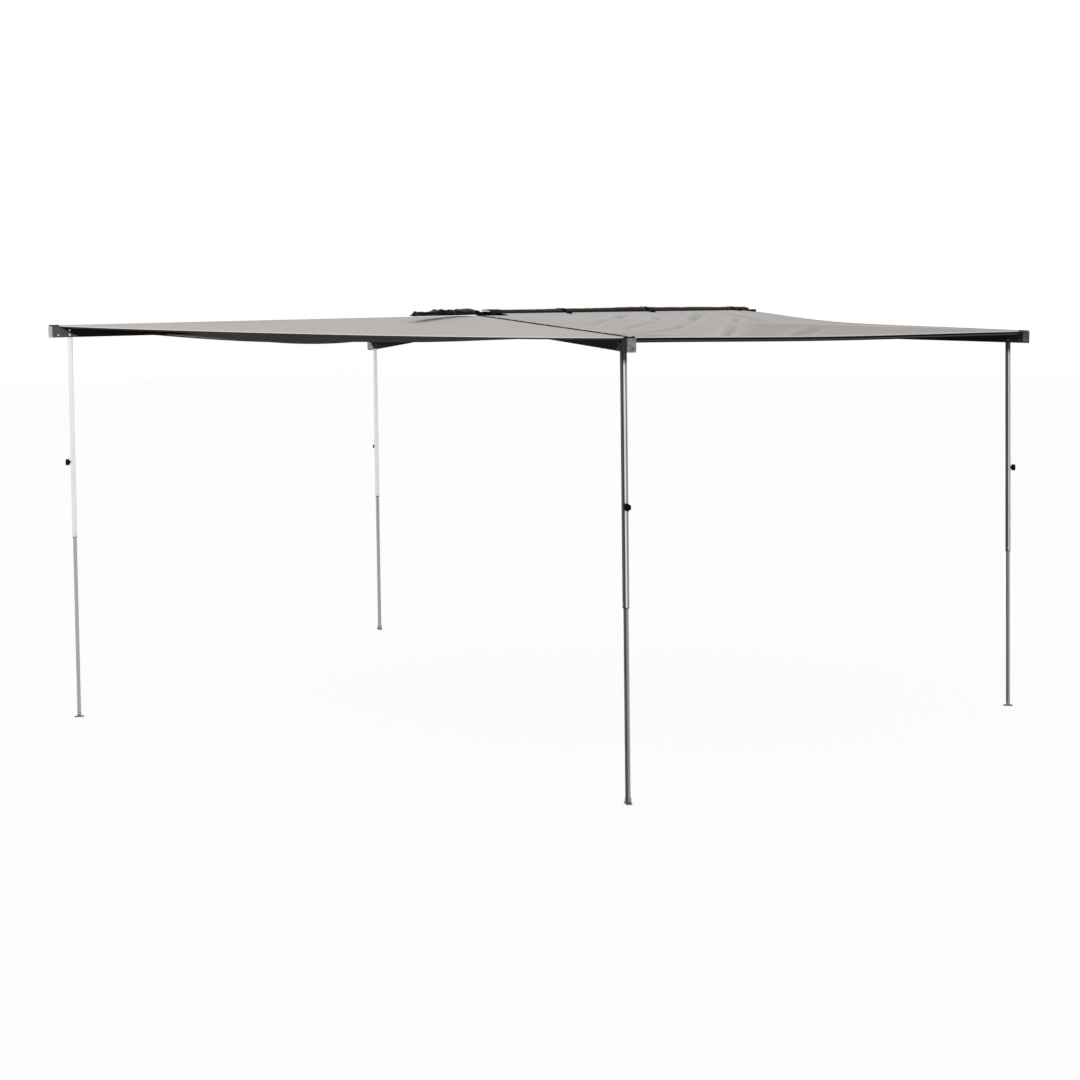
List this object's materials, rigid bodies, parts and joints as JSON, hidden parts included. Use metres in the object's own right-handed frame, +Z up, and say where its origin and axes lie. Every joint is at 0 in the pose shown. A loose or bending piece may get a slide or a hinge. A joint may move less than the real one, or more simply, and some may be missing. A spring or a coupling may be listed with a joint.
{
  "type": "vehicle side awning",
  "caption": "Fan-shaped vehicle side awning, opened out: a rack rail, hinged channel arms with fold-out telescopic legs and a sewn canopy",
  "frame": {"origin": "on the ground, below the middle of the part's box", "axes": "+Z is up; +X runs along the rail from the pivot to its far end; +Y points to the vehicle that the rail's back face bolts to"},
  "size_m": [4.7412, 4.8982, 2.2211],
  "materials": {
    "black_aluminium": "black powder coat",
    "grey_aluminium": "satin",
    "bright_tube": "polished",
    "zinc_steel": "zinc plated",
    "black_steel": "satin",
    "black_plastic": "matte",
    "canopy_fabric": "coated weave",
    "cover_fabric": "coated weave",
    "webbing": "woven"
  },
  "bodies": {
    "rail_body": {"backing_rail": "black_aluminium", "rail_end_cap": "black_plastic", "hinge_plate": "zinc_steel", "travel_cover": "cover_fabric", "travel_cover_end": "cover_fabric", "tie_strap_1": "webbing", "tie_strap_2": "webbing", "tie_strap_3": "webbing", "strap_buckle_1": "black_plastic", "strap_buckle_2": "black_plastic", "strap_buckle_3": "black_plastic"},
    "arm_front": {"pivot_bolt": "zinc_steel", "pivot_nut": "zinc_steel", "pivot_washer_1": "black_plastic", "pivot_washer_2": "black_plastic", "pivot_washer_3": "black_plastic", "arm_link_front": "grey_aluminium", "arm_channel_front": "black_aluminium", "tip_bracket_front": "grey_aluminium", "leg_pin_front": "zinc_steel", "canopy_rail": "canopy_fabric"},
    "leg_front": {"leg_outer_front": "bright_tube", "leg_bush_front": "black_plastic"},
    "knob_front": {"lock_knob_front": "black_plastic"},
    "inner_front": {"leg_inner_front": "bright_tube"},
    "foot_front": {"foot_plate_front": "black_steel", "foot_pin_front": "zinc_steel"},
    "arm_side": {"arm_link_side": "grey_aluminium", "arm_channel_side": "black_aluminium", "tip_bracket_side": "grey_aluminium", "leg_pin_side": "zinc_steel", "canopy_front": "canopy_fabric"},
    "leg_side": {"leg_outer_side": "bright_tube", "leg_bush_side": "black_plastic"},
    "knob_side": {"lock_knob_side": "black_plastic"},
    "inner_side": {"leg_inner_side": "bright_tube"},
    "foot_side": {"foot_plate_side": "black_steel", "foot_pin_side": "zinc_steel"},
    "arm_corner": {"arm_link_corner": "grey_aluminium", "arm_channel_corner": "black_aluminium", "tip_bracket_corner": "grey_aluminium", "leg_pin_corner": "zinc_steel", "canopy_side": "canopy_fabric"},
    "leg_corner": {"leg_outer_corner": "bright_tube", "leg_bush_corner": "black_plastic"},
    "knob_corner": {"lock_knob_corner": "black_plastic"},
    "inner_corner": {"leg_inner_corner": "bright_tube"},
    "foot_corner": {"foot_plate_corner": "black_steel", "foot_pin_corner": "zinc_steel"},
    "arm_rear": {"arm_link_rear": "grey_aluminium", "arm_channel_rear": "black_aluminium", "tip_bracket_rear": "grey_aluminium", "leg_pin_rear": "zinc_steel", "canopy_rear": "canopy_fabric"},
    "leg_rear": {"leg_outer_rear": "bright_tube", "leg_bush_rear": "black_plastic"},
    "knob_rear": {"lock_knob_rear": "black_plastic"},
    "inner_rear": {"leg_inner_rear": "bright_tube"},
    "foot_rear": {"foot_plate_rear": "black_steel", "foot_pin_rear": "zinc_steel"}
  },
  "joints": [
    {"name": "swing_front", "type": "hinge", "parent": "rail_body", "child": "arm_front", "pos_m": [-0.56346, 0.17609, 2.1585], "axis": [0, 0, 1], "range_deg": [0, 60.8], "deforming": ["canopy_rail"]},
    {"name": "swing_side", "type": "hinge", "parent": "arm_front", "child": "arm_side", "pos_m": [-0.56346, 0.17609, 2.1425], "axis": [0, 0, 1], "range_deg": [0, 64.8], "deforming": ["canopy_front"]},
    {"name": "swing_corner", "type": "hinge", "parent": "arm_side", "child": "arm_corner", "pos_m": [-0.56346, 0.17609, 2.1265], "axis": [0, 0, 1], "range_deg": [0, 93.1], "deforming": ["canopy_side"]},
    {"name": "swing_rear", "type": "hinge", "parent": "arm_corner", "child": "arm_rear", "pos_m": [-0.56346, 0.17609, 2.1105], "axis": [0, 0, 1], "range_deg": [0, 81.2], "deforming": ["canopy_rear"]},
    {"name": "leg_fold_front", "type": "hinge", "parent": "arm_front", "child": "leg_front", "pos_m": [0.8181, -2.341, 1.9935], "axis": [0.8729, 0.4879, 0], "range_deg": [0, 92.45]},
    {"name": "leg_slide_front", "type": "slide", "parent": "leg_front", "child": "inner_front", "axis": [0, 0, 1], "range_m": [-0.1, 0.5]},
    {"name": "knob_turn_front", "type": "hinge", "parent": "leg_front", "child": "knob_front", "pos_m": [0.8181, -2.341, 1.3035], "axis": [0.4879, -0.8729, 0], "range_deg": [0, 360]},
    {"name": "foot_tilt_front", "type": "hinge", "parent": "inner_front", "child": "foot_front", "pos_m": [0.8181, -2.341, 0.02], "axis": [0.8729, 0.4879, 0], "range_deg": [-25, 25]},
    {"name": "leg_fold_side", "type": "hinge", "parent": "arm_side", "child": "leg_side", "pos_m": [-2.09965, -1.85797, 1.99647], "axis": [0.8131, -0.5821, 0], "range_deg": [0, 92.7]},
    {"name": "leg_slide_side", "type": "slide", "parent": "leg_side", "child": "inner_side", "axis": [0, 0, 1], "range_m": [-0.1, 0.5]},
    {"name": "knob_turn_side", "type": "hinge", "parent": "leg_side", "child": "knob_side", "pos_m": [-2.09965, -1.85797, 1.30647], "axis": [-0.5821, -0.8131, 0], "range_deg": [0, 360]},
    {"name": "foot_tilt_side", "type": "hinge", "parent": "inner_side", "child": "foot_side", "pos_m": [-2.09965, -1.85797, 0.02], "axis": [0.8131, -0.5821, 0], "range_deg": [-25, 25]},
    {"name": "leg_fold_corner", "type": "hinge", "parent": "arm_corner", "child": "leg_corner", "pos_m": [-2.27123, 1.68266, 2.0846], "axis": [-0.6252, -0.7804, 0], "range_deg": [0, 90.75]},
    {"name": "leg_slide_corner", "type": "slide", "parent": "leg_corner", "child": "inner_corner", "axis": [0, 0, 1], "range_m": [-0.1, 0.5]},
    {"name": "knob_turn_corner", "type": "hinge", "parent": "leg_corner", "child": "knob_corner", "pos_m": [-2.27123, 1.68266, 1.3946], "axis": [-0.7804, 0.6252, 0], "range_deg": [0, 360]},
    {"name": "foot_tilt_corner", "type": "hinge", "parent": "inner_corner", "child": "foot_corner", "pos_m": [-2.27123, 1.68266, 0.02], "axis": [-0.6252, -0.7804, 0], "range_deg": [-25, 25]},
    {"name": "leg_fold_rear", "type": "hinge", "parent": "arm_rear", "child": "leg_rear", "pos_m": [0.8555, 2.34081, 1.97168], "axis": [-0.8669, 0.4985, 0], "range_deg": [0, 93.45]},
    {"name": "leg_slide_rear", "type": "slide", "parent": "leg_rear", "child": "inner_rear", "axis": [0, 0, 1], "range_m": [-0.1, 0.5]},
    {"name": "knob_turn_rear", "type": "hinge", "parent": "leg_rear", "child": "knob_rear", "pos_m": [0.8555, 2.34081, 1.28168], "axis": [0.4985, 0.8669, 0], "range_deg": [0, 360]},
    {"name": "foot_tilt_rear", "type": "hinge", "parent": "inner_rear", "child": "foot_rear", "pos_m": [0.8555, 2.34081, 0.02], "axis": [-0.8669, 0.4985, 0], "range_deg": [-25, 25]}
  ]
}
